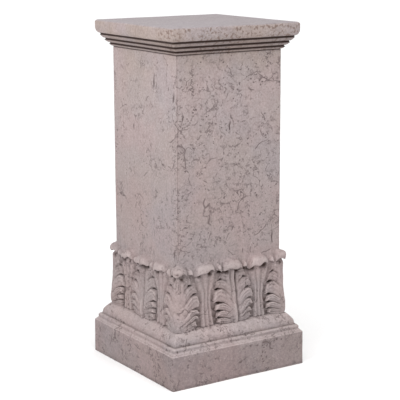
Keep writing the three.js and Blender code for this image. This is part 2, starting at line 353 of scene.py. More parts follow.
# How strong each look is. Of two numbers, the first is where its mask is 0, the second where 1.
TAN_STRENGTH = [0.25, 1]
BLUE_STRENGTH = 0.3
CAP_TOP_STRENGTH = [0, 0.8]
LIT_BASE_STRENGTH = [0, 0.42]
PLINTH_SHADE_ROUND = 0.6
PLINTH_SHADE_IN_FRONT = 0.55
WORN_STRENGTH = [0, 0.5]
SPECK_STRENGTH = [0, 0.24]
PALE_STRENGTH = [0, 0.3]
RUST_STRENGTH = [0, 0.7]
RUST_ROUND = 0.15
# How strong the painted shade and dirt in the hollows are, more on the front face.
DARKENING_PATCHES = [0.7, 1]
DARKENING_STRENGTH = 0.85
DARKENING_IN_FRONT = 0.25
VEIN_STRENGTH = 0.85
CRACK_STRENGTH = 0.75
TICK_STRENGTH = 0.85
TWIG_STRENGTH = 0.6
PIT_STRENGTH = 0.8
MARKS_OFF_CAP = 0.8  # how much weaker they are on the cap
ROUGHNESS = [0.78, 0.93]
GRAIN_RELIEF = 0.25
MARK_RELIEF = 0.6
RELIEF_STRENGTH = 0.8
RELIEF_DISTANCE = 0.002

# The studio.
FLOOR_SIZE = 60
FLOOR_WHITE = (0.96, 0.96, 0.96, 1)
FLOOR_ROUGHNESS = 0.9
WORLD_STRENGTH = 0.6
KEY_AIM = 0.8  # as a share of the pedestal's height

# The camera at the photo's angle: degrees, then metres, then the lens in millimetres.
CAMERA_AZIMUTH = -33.0066
CAMERA_TILT = 11.8127
CAMERA_ROLL = -0.1897
CAMERA_DISTANCE = 3.1053
CAMERA_RIGHT = 0.00794
CAMERA_UP = 0.36983
CAMERA_LENS = 117.89
CAMERA_SENSOR = 36


def mix(a, b, t):
    return a + (b - a) * t


def share(start, end, x):
    return np.clip((x - start) / (end - start), 0, 1)


def smooth(t):
    return t * t * (3 - 2 * t)


def bump(x, centre, half):
    return np.exp(-(((x - centre) / half) ** 2))


def ripple(turns):
    """0 at every whole turn and 1 half way between two."""
    return 0.5 - 0.5 * np.cos(2 * math.pi * turns)


def quarter_turn(count):
    return np.linspace(0, math.pi / 2, count)


def lumps(points, size, seed):
    """Smooth random heights from -1 to 1, in lumps about size across."""
    count = 32
    lattice = np.random.default_rng(seed).uniform(-1, 1, (count, count, count))
    cell = np.asarray(points) / size
    low = np.floor(cell).astype(int)
    part = smooth(cell - low)
    total = np.zeros(len(cell))
    for corner in np.ndindex(2, 2, 2):
        at = (low + corner) % count
        weight = np.prod(np.where(corner, part, 1 - part), axis=1)
        total += weight * lattice[at[:, 0], at[:, 1], at[:, 2]]
    return total


class Ring:
    """One closed line of points round the pedestal."""

    def __init__(self, places, half, radius, height, shade_and_dirt=0.0):
        count = len(places)
        side = np.round(places / (4 * leaf_pitch))
        local = places - side * 4 * leaf_pitch
        past = np.maximum(0, (np.abs(local) - straight_half) / corner_radius)
        turn = np.sign(local) * past
        straight = np.clip(local, -straight_half, straight_half) / straight_half
        flat = half - radius
        x = straight * flat + radius * np.sin(turn)
        y = -flat - radius * np.cos(turn)
        spin = side * math.pi / 2
        self.normal = np.stack(
            [np.sin(turn + spin), -np.cos(turn + spin), np.zeros(count)], axis=1
        )
        self.points = np.stack(
            [
                x * np.cos(spin) - y * np.sin(spin),
                x * np.sin(spin) + y * np.cos(spin),
                np.broadcast_to(height, (count,)),
            ],
            axis=1,
        )
        self.shade_and_dirt = np.broadcast_to(shade_and_dirt, (count,)).astype(float)


def regular_places(count):
    """Places round the pedestal that give each corner's arc its own even share of columns."""
    per_side = count // 4
    arc = corner_radius * math.pi / 4
    arc_part = ARC_COLUMNS * (count // plain_columns) // 2
    middle = np.linspace(-straight_half, straight_half, per_side - 2 * arc_part + 1)
    after = straight_half + arc * np.arange(1, arc_part) / arc_part
    before = -straight_half - arc * np.arange(arc_part, 0, -1) / arc_part
    one_side = np.concatenate([before, middle, after])
    return np.concatenate([one_side + side * 4 * leaf_pitch for side in range(4)])


# The leaf band.
def back_half(rise):
    foot = smooth(share(0, BACK_WAIST_RISE, rise))
    top = smooth(share(BACK_WAIST_RISE, NECK_RISE, rise))
    return mix(mix(BACK_FOOT_HALF, BACK_WAIST_HALF, foot), BACK_TOP_HALF, top)


class LeafLine:
    """A line across half a large leaf, t of the way up its lobe. Its rise is taken at its crest."""

    def __init__(self, side, lobe, t):
        low, high = NOTCH_RISES[side][lobe], NOTCH_RISES[side][lobe + 1]
        notch = mix(NOTCH_REACHES[lobe], NOTCH_REACHES[lobe + 1], t)
        opening = math.sqrt(1 - (1 - min(t / LOBE_OPENING, 1)) ** 2)
        closing = math.sqrt(1 - share(LOBE_TOP, 1, t) ** 2)
        scallops = sum(FINGER_SCALLOP * bump(t, at, FINGER_HALF) for at, _ in FINGERS)
        self.side = side
        self.t = t
        self.height = high - low
        self.rise = mix(low, high, t)
        self.reach = notch + (LOBE_REACHES[side][lobe] - notch - scallops) * opening * closing


def half_places(reach, rise, is_hood):
    """The columns of half a large leaf and half its narrow neighbour, from the leaf's axis out."""
    even = np.arange(LARGE_COLUMNS) / (LARGE_COLUMNS - 1)
    across = mix(even, np.sin(even * math.pi / 2), COLUMN_EASE)
    back = leaf_pitch - HOOD_EDGE if is_hood else back_half(rise)
    back_edge = max(reach + GROUND_WIDTH, leaf_pitch - back)
    ground = mix(reach, back_edge, np.arange(1, GROUND_COLUMNS + 1) / (GROUND_COLUMNS + 1))
    even = np.arange(BACK_COLUMNS + 1) / BACK_COLUMNS
    inward = mix(even, 1 - np.cos(even * math.pi / 2), COLUMN_EASE)
    return np.concatenate([reach * across, ground, mix(back_edge, leaf_pitch, inward)])


def rounded_edge(start, across):
    """1 on a leaf's face, and down to 0 along a quarter circle from start to the leaf's edge."""
    return np.sqrt(np.maximum(0, 1 - share(start, 1, across) ** 2))


def large_middle_out(rise):
    belly = smooth(share(0, BELLY_RISE, rise))
    neck = smooth(share(BELLY_RISE, NECK_RISE, rise))
    return mix(mix(FOOT_OUT, BELLY_OUT, belly), NECK_OUT, neck)


def midrib(side, place):
    """The midrib, and the groove and the ridge beside it."""
    rib = MIDRIB_HEIGHT * bump(place, 0, MIDRIB_HALF)
    groove = bump(place, MIDRIB_HALF * MIDRIB_GROOVE_AT, MIDRIB_GROOVE_HALF)
    ridge = bump(place, MIDRIB_HALF * MIDRIB_RIDGE_AT, MIDRIB_RIDGE_HALF)
    return rib - MIDRIB_GROOVES[side] * groove + MIDRIB_RIDGE * ridge


def lobe_swell(t, above_foot):
    """How far a lobe swells out, t of the way up it."""
    profile = smooth(share(*SWELL_RISES, t)) * (1 - smooth(share(*SWELL_FALLS, t)))
    return LOBE_SWELL * (mix(SWELL_AT_FOOT, profile, above_foot) - SWELL_MEAN)


def leaf_hollows(line, place, lobes, above_foot):
    """The grooves between lobes and between fingers, the eyes, and the folds under the tip."""
    across = place / line.reach
    from_notch = line.t * line.height
    fingers = sum(depth * bump(line.t, at, FINGER_HALF) for at, depth in FINGERS)
    fingers = fingers * smooth(share(*FINGERS_START, across)) * smooth(share(*FINGERS_END, across))
    groove = bump(from_notch, 0, LOBE_GROOVE_ABOVE) + bump(line.t, 1, LOBE_GROOVE_BELOW)
    groove = LOBE_GROOVE * groove * lobes
    eye = EYE_DEPTH * bump(from_notch, EYE_RISE, EYE_HALF) * smooth(share(*EYES_START, across))
    pleats = PLEAT_DEPTH * ripple(place / PLEAT_WIDTH) * smooth(share(*PLEAT_RISES, line.rise))
    pleats = pleats * smooth(share(*PLEATS_END, across))
    return fingers + (groove + eye) * above_foot + pleats


def large_out(line, place):
    """How far the large leaf stands out, but for its midrib."""
    across = place / line.reach
    lobes = smooth(share(*LOBES_START, place))
    above_foot = float(smooth(share(0, LEAF_FOOT_RISE, line.rise)))
    face = large_middle_out(line.rise) - LEAF_CROWN * across**2
    face = face + lobes * lobe_swell(line.t, above_foot)
    face = face - leaf_hollows(line, place, lobes, above_foot)
    return mix(np.minimum(face, GROUND_OUT), face, rounded_edge(LEAF_EDGE, across))


def back_out(place, rise):
    """How far the narrow leaf stands out."""
    across = (leaf_pitch - place) / back_half(rise)
    waist = smooth(share(BACK_WAIST_RISE, 0, abs(rise - BACK_WAIST_RISE)))
    face = BACK_OUT - BACK_WAIST_DEPTH * waist - BACK_GROOVE * ripple(BACK_RIBS * across)
    return mix(GROUND_OUT, face, rounded_edge(BACK_EDGE, across))


def line_drop(line, place, rise):
    """How far a line lies below its crest: its root sinks inward, its end hooks down."""
    roots = LOBE_ROOTS[line.side]
    upper = (rise / NECK_RISE) ** LOBE_FADE
    crest_place = mix(SPINE_HALF, line.reach, LOBE_CRESTS[line.side])
    inward = (1 - np.sin(share(0, crest_place, place) * math.pi / 2)) ** LOBE_ROOT_CURVE
    root = roots * (1 - np.exp(-ROOT_SLOPE * rise / roots))
    hang = share(0, LOBE_TOP, line.t) * (1 - smooth(share(LOBE_TOP, 1, line.t)))
    outward = share(crest_place, line.reach, place) ** 2 * share(leaf_pitch, line.reach, place)
    hook = LOBE_HOOKS[line.side] * smooth(share(0, HOOK_RISE, rise)) * (1 - upper)
    hook = hook + LOBE_DROOP * line.height * hang
    return root * (1 - upper) * inward + hook * outward


def hood_strength(place):
    """How far the tips are curled at a place: 1 at the large leaf's axis, 0 between two tips."""
    strength = np.zeros_like(place)
    for centre, half, strongest in HOOD_LOBES:
        from_centre = np.abs(place - centre) / half
        dome = np.sqrt(np.maximum(0, 1 - from_centre**HOOD_ROUNDNESS))
        strength = np.maximum(strength, strongest * dome)
    return strength


def hood_curve(h):
    """The hood's line from its neck (0) to its last point (1), through HOOD_POINTS."""
    points = np.array(HOOD_POINTS, float)
    points = np.vstack([2 * points[0] - points[1], points, 2 * points[-1] - points[-2]])
    at = h * (len(HOOD_POINTS) - 1)
    i = min(int(at), len(HOOD_POINTS) - 2)
    t = at - i
    a, b, c, d = points[i : i + 4]
    return 0.5 * (
        2 * b + (c - a) * t + (2 * a - 5 * b + 4 * c - d) * t**2 + (3 * b - a - 3 * c + d) * t**3
    )


def lip_scallops(place):
    """How far the lip's wavy edge hangs; it is lowest at the axis of each leaf."""
    from_axis = np.minimum(place, leaf_pitch - place)
    return np.cos(math.pi * from_axis / LIP_SCALLOP_WIDTH) * LIP_SCALLOP


def lip_tilt(side, place):
    """How far the lip is raised by its lean: each curled tip hangs lower on its left."""
    places = [0, *LIP_TILT_PLACES, leaf_pitch]
    on_right = np.interp(place, places, [0, LIP_TILT, -LIP_TILT, 0])
    return on_right if side else -on_right


def leaf_rows(side, rib_share):
    """The rows from the foot to the neck, as place, out and rise of every column."""
    columns = np.arange(half_columns + 1)
    large = columns < LARGE_COLUMNS
    back = columns >= LARGE_COLUMNS + GROUND_COLUMNS
    rows = []
    for row in range(leaf_row_count):
        lobe, step = divmod(row, ROWS_PER_LOBE)
        even = step / ROWS_PER_LOBE
        line = LeafLine(side, lobe, mix(even, 1 - (1 - even) ** 2, ROW_EASE))
        even_rise = NECK_RISE * row / leaf_row_count
        places = half_places(line.reach, line.rise, False)
        own = smooth(share(0, SPINE_HALF, places)) * smooth(share(leaf_pitch, line.reach, places))
        rises = mix(even_rise, line.rise, own)
        out = np.full(half_columns + 1, float(GROUND_OUT))
        out[large] = large_out(line, places[large]) + rib_share * midrib(side, places[large])
        out[back] = back_out(places[back], rises[back])
        rows.append((places, out, rises - line_drop(line, places, rises)))
    return rows


def hood_rows(side, neck_places, neck_out):
    """The rows of the curled tips, and the one that closes them against the shaft."""
    hood_places = half_places(HOOD_EDGE, NECK_RISE, True)
    rows = []
    for step in range(HOOD_ROWS + 1):
        h = step / HOOD_ROWS
        curled_out, curled_rise = hood_curve(h)
        places = mix(neck_places, hood_places, smooth(share(*HOOD_SPREADS, h)))
        strength = hood_strength(places)
        target = mix(GROUND_OUT * (1 - h), NECK_OUT + curled_out, strength)
        out = mix(neck_out, target, smooth(share(*HOOD_OPENS, h)))
        rise = curled_rise if h < lip_share else mix(lip_rise, curled_rise, strength)
        wave = lip_tilt(side, places) - lip_scallops(places)
        rise = rise + wave * bump(h, lip_share, LIP_WAVE_HALF)
        rows.append((places, out, NECK_RISE + rise))
    last_places = rows[-1][0]
    top = mix(lip_rise, HOOD_TOP, hood_strength(last_places))
    rows.append((last_places, np.zeros(half_columns + 1), NECK_RISE + top))
    return rows


def half_band(side, rib_share):
    """Place, out and rise of every point of half a large leaf and half its neighbour."""
    rows = leaf_rows(side, rib_share)
    neck_places, neck_out = rows[-1][:2]
    rows += hood_rows(side, neck_places, neck_out)
    return [np.array(part) for part in zip(*rows)]


def all_round(left, right, sign):
    """Joins the two halves of a leaf, from its left end on. sign is -1 for places."""
    mirrored = sign * left[:, ::-1][:, :-1]
    return np.concatenate([mirrored, right[:, :-1]], axis=1)


def band_grid():
    """Place, out and rise of every point of the band, all the way round from a corner."""
    places, outs, rises = [], [], []
    for leaf in range(LEAVES):
        is_corner = leaf % 2
        rib_share = CORNER_RIB_SHARE if is_corner else 1
        left, right = half_band(0, rib_share), half_band(1, rib_share)
        one_place = all_round(left[0], right[0], -1)
        one_out = all_round(left[1], right[1], 1)
        one_rise = all_round(left[2], right[2], 1)
        near_corner = is_corner * smooth(share(*CORNER_PLACES, np.abs(one_place)))
        near_corner = near_corner * smooth(share(*CORNER_ENDS, one_rise))
        lifted = CORNER_HOOD_RISE * smooth(share(*CORNER_LIFTS, one_rise))
        drawn_in = CORNER_HOOD_IN * smooth(share(*CORNER_DRAWN, one_rise))
        places.append(one_place + leaf * 2 * leaf_pitch)
        outs.append(one_out + (CORNER_LEAF_OUT - drawn_in) * near_corner)
        rises.append(one_rise + lifted * near_corner)
    grids = [np.concatenate(part, axis=1) for part in (places, outs, rises)]
    grids = [np.roll(grid, half_columns, axis=1) for grid in grids]
    grids[0][:, :half_columns] -= LEAVES * 2 * leaf_pitch
    return grids


def blurred(grid, reach):
    """The grid's average over a few rows and columns; the columns run on round the pedestal."""
    total = sum(np.roll(grid, k, axis=1) for k in range(-reach, reach + 1))
    padded = np.pad(total, ((reach, reach), (0, 0)), mode="edge")
    rows = len(grid)
    total = sum(padded[k : k + rows] for k in range(2 * reach + 1))
    return total / (2 * reach + 1) ** 2


def leaned(places, rises):
    """The places moved along on the front face, most at the foot."""
    shift = np.interp(places / leaf_pitch, [-2, -1, 0, 1, 2], FRONT_SHIFTS)
    return places + shift * mix(1, TOP_SHIFT_SHARE, share(0, NECK_RISE, rises))


def strayed(place, out, rise):
    """One row of the band after the carving's small irregularities."""
    points = Ring(place, SHAFT_HALF + out, SHAFT_CORNER + out, rise).points
    top = NECK_RISE + HOOD_TOP
    inside = smooth(share(0, STRAY_ENDS, rise)) * smooth(share(top, top - STRAY_ENDS, rise))
    hood = bump(rise, NECK_RISE + HOOD_MIDDLE[0], HOOD_MIDDLE[1])
    lip = bump(rise, NECK_RISE + lip_rise, LIP_HALF_HEIGHT)
    place = place + inside * PLACE_STRAY * lumps(points, PLACE_LUMPS, SEED + 4)
    out = out + inside * OUT_STRAY * lumps(points, OUT_LUMPS, SEED + 5)
    out = out + HOOD_STRAY * hood * lumps(points, HOOD_LUMPS, SEED + 10)
    uneven = lumps(points, RISE_LUMPS[0], SEED + 6) + lumps(points, RISE_LUMPS[1], SEED + 7)
    rise = rise + inside * RISE_STRAY * uneven
    rise = rise + lip * LIP_STRAY * lumps(points, LIP_LUMPS, SEED + 8)
    return place, out, rise


def spots_under_lips(places, rises):
    """Where the neck is deepest under the lips and darkened with painted shade, from 0 to 1."""
    from_leaf = np.abs((places + leaf_pitch) % (2 * leaf_pitch) - leaf_pitch)
    raised = share(*SPOT_SCALLOPS, -lip_scallops(from_leaf) / LIP_SCALLOP)
    points = Ring(places, SHAFT_HALF, SHAFT_CORNER, NECK_RISE).points
    deep = lumps(points, SPOT_WIDTH, SEED + 9) + SPOT_SCALLOP_SHARE * raised
    return smooth(share(*SPOT_LUMPS, deep)) * bump(rises, NECK_RISE, SPOT_HALF_HEIGHT)


def band_shade_and_dirt(outs):
    """Painted shade and dirt in the band's hollows, painted shade under its lips, and wear on its
    ridges.
    """
    depth = blurred(outs, BLUR_REACH) - outs
    shade_and_dirt = share(*HOLLOW_DEPTHS, depth) - share(*RIDGE_HEIGHTS, -depth)
    shade_and_dirt[lip_row:] = np.minimum(shade_and_dirt[lip_row:], 0)
    # Painted shade under the lips, in the rows of the undercut.
    shade_and_dirt[lip_row - LIP_SHADE_ROWS : lip_row] = LIP_SHADE * share(*LIP_SHADE_OUTS, outs[lip_row])
    return shade_and_dirt


def band_foot_rings(places, foot_half):
    """The rings that lead over the ovolo to the carving's foot."""
    rings = []
    regular = regular_places(band_columns)
    for w in (0.5, 1):
        half = mix(ovolo_at(OVOLO_PLAIN), foot_half - FOOT_GAP, w)
        height = ovolo_height(half + FOOT_GAP * w)
        spots = mix(regular, places, w)
        # Painted shadow in the gap at the band's foot.
        rings.append(Ring(spots, half, half - straight_half, height, FOOT_SHADOW * w))
    return rings


def band_top_rings(places):
    """The rings over the band, in which its columns become regular again."""
    rings = []
    regular = regular_places(band_columns)
    for w in (0.25, 0.5, 0.75, 1):
        height = band_top + BLEND_START + BLEND_RISE * w
        rings.append(Ring(mix(places, regular, w), SHAFT_HALF, SHAFT_CORNER, height))
    return rings


def band_rings():
    places, outs, rises = band_grid()
    places = leaned(places, rises)
    foot_half = SHAFT_HALF + outs[0]
    foot_rise = ovolo_height(foot_half) - band_foot
    rises = foot_rise + rises * (NECK_RISE - foot_rise) / NECK_RISE
    shades_and_dirt = band_shade_and_dirt(outs)
    for row in spot_rows:
        spots = spots_under_lips(places[row], rises[row])
        outs[row] -= SPOT_DEPTH * spots
        # Painted shade in the deep spots under the lips, over the real hollows.
        shades_and_dirt[row] = np.maximum(shades_and_dirt[row], spots)
    rings = band_foot_rings(places[0], foot_half)
    for place, out, rise, shade_and_dirt in zip(places, outs, rises, shades_and_dirt):
        place, out, rise = strayed(place, out, rise)
        height = band_foot + rise + BAND_LIFT
        rings.append(Ring(place, SHAFT_HALF + out, SHAFT_CORNER + out, height, shade_and_dirt))
    return rings + band_top_rings(places[-1])


# The plain sections, from the foot up, as [half width, height, corner radius, painted shade and
# dirt].
def base_section():
    rows = []
    for z in np.linspace(0, PLINTH_HEIGHT - PLINTH_EDGE, PLINTH_ROWS):
        rows.append([PLINTH_HALF, z, PLINTH_CORNER, 0])
    for turn in quarter_turn(PLINTH_EDGE_ROWS)[1:]:
        z = PLINTH_HEIGHT - PLINTH_EDGE + PLINTH_EDGE * math.sin(turn)
        half = PLINTH_HALF - PLINTH_EDGE_IN * (1 - math.cos(turn))
        rows.append([half, z, PLINTH_CORNER, PLINTH_EDGE_GRIME])
    for t in np.linspace(0, 1, SLOPE_ROWS)[1:]:
        half = mix(PLINTH_HALF - PLINTH_EDGE_IN, PLINTH_HALF - SLOPE_IN, t)
        half += SLOPE_BEAD * bump(t, *SLOPE_BEAD_SPAN) - SLOPE_HOLLOW * bump(t, *SLOPE_HOLLOW_SPAN)
        rows.append([half, mix(PLINTH_HEIGHT, slope_top, t), MOULDING_CORNER, 0])
    for out, up, shade_and_dirt in LEDGE_GROOVE:
        rows.append([ovolo_half + out, slope_top + up, MOULDING_CORNER, shade_and_dirt])
    middle = ovolo_foot - OVOLO_UPRIGHT * 0.5
    rows.append([ovolo_half - OVOLO_LEAN * 0.5, middle, MOULDING_CORNER, 0])
    for t in np.linspace(0, OVOLO_PLAIN, OVOLO_ROWS):
        rows.append([ovolo_at(t), ovolo_foot + OVOLO_RISE * t, MOULDING_CORNER, 0])
    return rows


def ovolo_at(t):
    """The ovolo's half width, t of the way up it."""
    return ovolo_half - OVOLO_LEAN - OVOLO_IN * t**OVOLO_BULGE


def ovolo_height(half):
    """How high the ovolo's surface is at a half width; further in it is its flat top."""
    t = np.clip((ovolo_half - OVOLO_LEAN - half) / OVOLO_IN, 0, 1) ** (1 / OVOLO_BULGE)
    return ovolo_foot + OVOLO_RISE * t


def shaft_section():
    low, high = SHAFT_TOP_ROWS
    heights = np.linspace(band_top + SHAFT_GAP, cornice_foot - low, SHAFT_ROWS)
    rows = [[SHAFT_HALF, z, SHAFT_CORNER, 0] for z in heights]
    # Painted shade under the cornice.
    rows.append([SHAFT_HALF, cornice_foot - high, SHAFT_CORNER, SHAFT_TOP_SHADE])
    return rows


def reed_rows(inner, face, foot, top):
    """One reed of the cornice and the dirty grooves below and over it."""
    lower = face - REED_LEAN - REED_ROUND
    rows = []
    for t, up, shade_and_dirt in REED_UNDERSIDE:
        rows.append([mix(inner, lower, t), foot + up, MOULDING_CORNER, shade_and_dirt])
    for t in np.linspace(0, 1, REED_ROWS):
        half = lower + REED_ROUND * math.sin(t * math.pi / 2) + REED_LEAN * t
        shade_and_dirt = REED_EDGE_SHADE if t == 1 else REED_GRIME
        rows.append([half, mix(foot + REED_FOOT, top, t**REED_CURVE), MOULDING_CORNER, shade_and_dirt])
    # Painted shade and dirt in the groove over the reed.
    rows.append([face - REED_GROOVE_DEPTH, top + REED_GROOVE_ROUND, MOULDING_CORNER, 1])
    return rows


def cornice_section():
    out, up, shade_and_dirt = CORNICE_JOIN
    rows = [[SHAFT_HALF + out, cornice_foot + up, SHAFT_CORNER, shade_and_dirt]]
    foot = cornice_foot
    inner = SHAFT_HALF
    for reed, reed_rise in enumerate(REED_RISES):
        face = SHAFT_HALF + FIRST_REED_OUT + reed * REED_STEP
        rows += reed_rows(inner, face, foot, foot + reed_rise - REED_GROOVE_WIDTH)
        foot += reed_rise
        inner = face - REED_GROOVE_DEPTH
    return rows


def cap_section():
    foot = SHAFT_HALF + FIRST_REED_OUT + (len(REED_RISES) - 1) * REED_STEP
    face = foot + CAP_OUT
    rows = []
    for turn in quarter_turn(CAP_ROUND_ROWS):
        z = cap_foot + CAP_ROUND_RISE * (1 - math.cos(turn))
        # The first ring, in the groove under the cap, gets painted shade and dirt.
        rows.append([mix(foot, face, math.sin(turn)), z, MOULDING_CORNER, 1 if turn == 0 else 0])
    upright = np.linspace(cap_foot + CAP_ROUND_RISE, TOTAL_HEIGHT - CAP_EDGE, CAP_FACE_ROWS)
    rows += [[face, z, MOULDING_CORNER, 0] for z in upright[1:]]
    for turn in quarter_turn(CAP_EDGE_ROWS)[1:]:
        half = face - CAP_EDGE * (1 - math.cos(turn))
        rows.append([half, TOTAL_HEIGHT - CAP_EDGE * (1 - math.sin(turn)), MOULDING_CORNER, 0])
    for half in np.linspace(face - CAP_EDGE, 0, CAP_TOP_ROWS)[1:-1]:
        rows.append([half, TOTAL_HEIGHT, min(MOULDING_CORNER, half / 2), 0])
    return rows


def plain_rings(section, arris_grime=0):
    places = regular_places(plain_columns)
    from_corner = np.abs(np.abs(places / leaf_pitch) % 4 - 2) * leaf_pitch
    arris = arris_grime * bump(from_corner, 0, ARRIS_HALF)
    return [Ring(places, half, radius, z, shade_and_dirt + arris) for half, z, radius, shade_and_dirt in section]


# The whole mesh.
def weathered(rings):
    """The rings' points with the slight unevenness of a hand-finished casting."""
    points = np.concatenate([ring.points for ring in rings])
    normals = np.concatenate([ring.normal for ring in rings])
    waves = sum(height * lumps(points, size, SEED + k) for k, (height, size) in enumerate(WAVES))
    moved = points + normals * waves[:, None]
    height, size = LEVEL_WAVE
    moved[:, 2] += height * lumps(points, size, SEED + 3) * share(0, LEVEL_START, points[:, 2])
    return moved


def faces_between(low, low_count, high, high_count):
    """Quads between rings of equal counts, or fans where one has FAN times the other's."""
    faces = []
    if low_count == high_count:
        for c in range(low_count):
            d = (c + 1) % low_count
            faces.append((low + c, low + d, high + d, high + c))
        return faces
    coarse_count = min(low_count, high_count)
    fine_count = max(low_count, high_count)
    upward = low_count < high_count
    coarse, fine = (low, high) if upward else (high, low)
    for c in range(coarse_count):
        a, b = coarse + c, coarse + (c + 1) % coarse_count
        fan = [fine + (FAN * c + k) % fine_count for k in range(FAN + 1)]
        middle = FAN // 2
        tris = [(a, fan[k + 1], fan[k]) for k in range(middle)]
        tris.append((a, b, fan[middle]))
        tris += [(b, fan[k + 1], fan[k]) for k in range(middle, FAN)]
        faces += tris if upward else [tri[::-1] for tri in tris]
    return faces


def pedestal_faces(counts):
    """The faces between the rings, and the fans that close the underside and the top."""
    starts = np.concatenate([[0], np.cumsum(counts)]).tolist()
    faces = []
    for i in range(len(counts) - 1):
        faces += faces_between(starts[i], counts[i], starts[i + 1], counts[i + 1])
    under_middle, top_middle = starts[-1], starts[-1] + 1
    for c in range(counts[0]):
        faces.append((under_middle, (c + 1) % counts[0], c))
    last = starts[-2]
    for c in range(counts[-1]):
        faces.append((top_middle, last + c, last + (c + 1) % counts[-1]))
    return faces


def make_pedestal():
    rings = plain_rings(base_section())
    rings += band_rings()
    rings += plain_rings(shaft_section(), ARRIS_GRIME)
    rings += plain_rings(cornice_section() + cap_section())
    counts = [len(ring.points) for ring in rings]
    points = np.vstack([weathered(rings), [0, 0, 0], [0, 0, TOTAL_HEIGHT]])
    points[: counts[0], 2] = 0
    mesh = bpy.data.meshes.new(PIECE)
    mesh.from_pydata((points * MM).tolist(), [], pedestal_faces(counts))
    mesh.update()
    mesh.polygons.foreach_set("use_smooth", [True] * len(mesh.polygons))
    # The value that darkens hollows and grooves with painted shade and dirt, and makes worn stone
    # pale.
    shade_and_dirt = mesh.attributes.new("shade_and_dirt", "FLOAT", "POINT")
    values = np.concatenate([ring.shade_and_dirt for ring in rings] + [[0, 0]])
    shade_and_dirt.data.foreach_set("value", values)
    piece = bpy.data.objects.new(PIECE, mesh)
    bpy.context.collection.objects.link(piece)
    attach(piece, "root")
    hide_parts(NODE)
    return piece


class Nodes:
    """Short calls for the nodes of one material. A value may be a number, a colour or a socket."""

    def __init__(self, name):
        self.material = bpy.data.materials.new(name)
        self.material.use_nodes = True
        self.tree = self.material.node_tree
        self.shader = self.tree.nodes["Principled BSDF"]

    def add(self, kind, inputs, output=0, **settings):
        node = self.tree.nodes.new(kind)
        for name, value in settings.items():
            setattr(node, name, value)
        for name, value in inputs.items():
            self.feed(node.inputs[name], value)
        return node.outputs[output]

    def feed(self, socket, value):
        if isinstance(value, bpy.types.NodeSocket):
            self.tree.links.new(value, socket)
        else:
            socket.default_value = value

    def math(self, operation, a, b=0.0, clamp=False):
        return self.add("ShaderNodeMath", {0: a, 1: b}, operation=operation, use_clamp=clamp)

    def plus(self, a, b):
        return self.math("ADD", a, b)

    def minus(self, a, b):
        return self.math("SUBTRACT", a, b)

    def times(self, a, b):
        return self.math("MULTIPLY", a, b)

    def most(self, a, b):
        return self.math("MAXIMUM", a, b)

    def axis(self, vector, name):
        return self.add("ShaderNodeSeparateXYZ", {0: vector}, name)

    def noise(self, vector, scale, detail=3.0, roughness=0.55, offset=None):
        """Noise from 0 to 1. With an offset it is read elsewhere, so it differs from the others."""
        if offset:
            vector = self.moved(vector, offset=offset)
        inputs = {"Vector": vector, "Scale": scale, "Detail": detail, "Roughness": roughness}
        return self.add("ShaderNodeTexNoise", inputs, "Fac")

    def cells(self, vector, scale, feature):
        inputs = {"Vector": vector, "Scale": scale}
        return self.add("ShaderNodeTexVoronoi", inputs, "Distance", feature=feature)

    def step(self, value, start, end, low=0.0, high=1.0):
        """Goes smoothly from low to high as value goes from start to end."""
        inputs = {"Value": value, 1: start, 2: end, 3: low, 4: high}
        return self.add("ShaderNodeMapRange", inputs, interpolation_type="SMOOTHSTEP")

    def mix(self, amount, a, b, blend="MIX"):
        # The node has sockets of the same names for other kinds, so its colours go by number.
        node = self.tree.nodes.new("ShaderNodeMix")
        node.data_type = "RGBA"
        node.blend_type = blend
        for socket, value in zip((node.inputs[0], node.inputs[6], node.inputs[7]), (amount, a, b)):
            self.feed(socket, value)
        return node.outputs[2]

    def moved(self, vector, scale=(1, 1, 1), offset=(0, 0, 0)):
        inputs = {"Vector": vector, "Scale": scale, "Location": offset}
        return self.add("ShaderNodeMapping", inputs)

    def warped(self, vector, scale, amount):
        """The vector pushed about by noise, so that what is drawn on it wanders."""
        inputs = {"Vector": vector, "Scale": scale, "Detail": 3.0}
        push = self.add("ShaderNodeTexNoise", inputs, "Color")
        middle = (0.5, 0.5, 0.5)
        centred = self.add("ShaderNodeVectorMath", {0: push, 1: middle}, operation="SUBTRACT")
        sized = self.add("ShaderNodeVectorMath", {0: centred, "Scale": amount}, operation="SCALE")
        return self.add("ShaderNodeVectorMath", {0: vector, 1: sized}, operation="ADD")


# The stone. A noise's numbers are its scale, detail and roughness, and a step's first two are the
# noise values between which it fades in.
def patch_colour(n, place, height, upward):
    """Soft patches of pink, grey, tan and blue-grey."""
    colour = n.mix(n.step(n.noise(place, 7, 4), 0.38, 0.62), PINK_STONE, GREY_STONE)
    tan = n.step(n.noise(place, 6, 3, offset=(3, 1, 2)), 0.42, 0.6)
    tan = n.times(tan, n.step(height, *NEAR_CAP, *TAN_STRENGTH))
    colour = n.mix(tan, colour, TAN_STONE)
    blue = n.step(n.noise(place, 6, 2, offset=(8, 4, 6)), 0.5, 0.64)
    cap_top = n.times(upward, n.step(height, *CAP_TOP, *CAP_TOP_STRENGTH))
    return n.mix(n.most(cap_top, n.times(blue, BLUE_STRENGTH)), colour, BLUE_STONE)


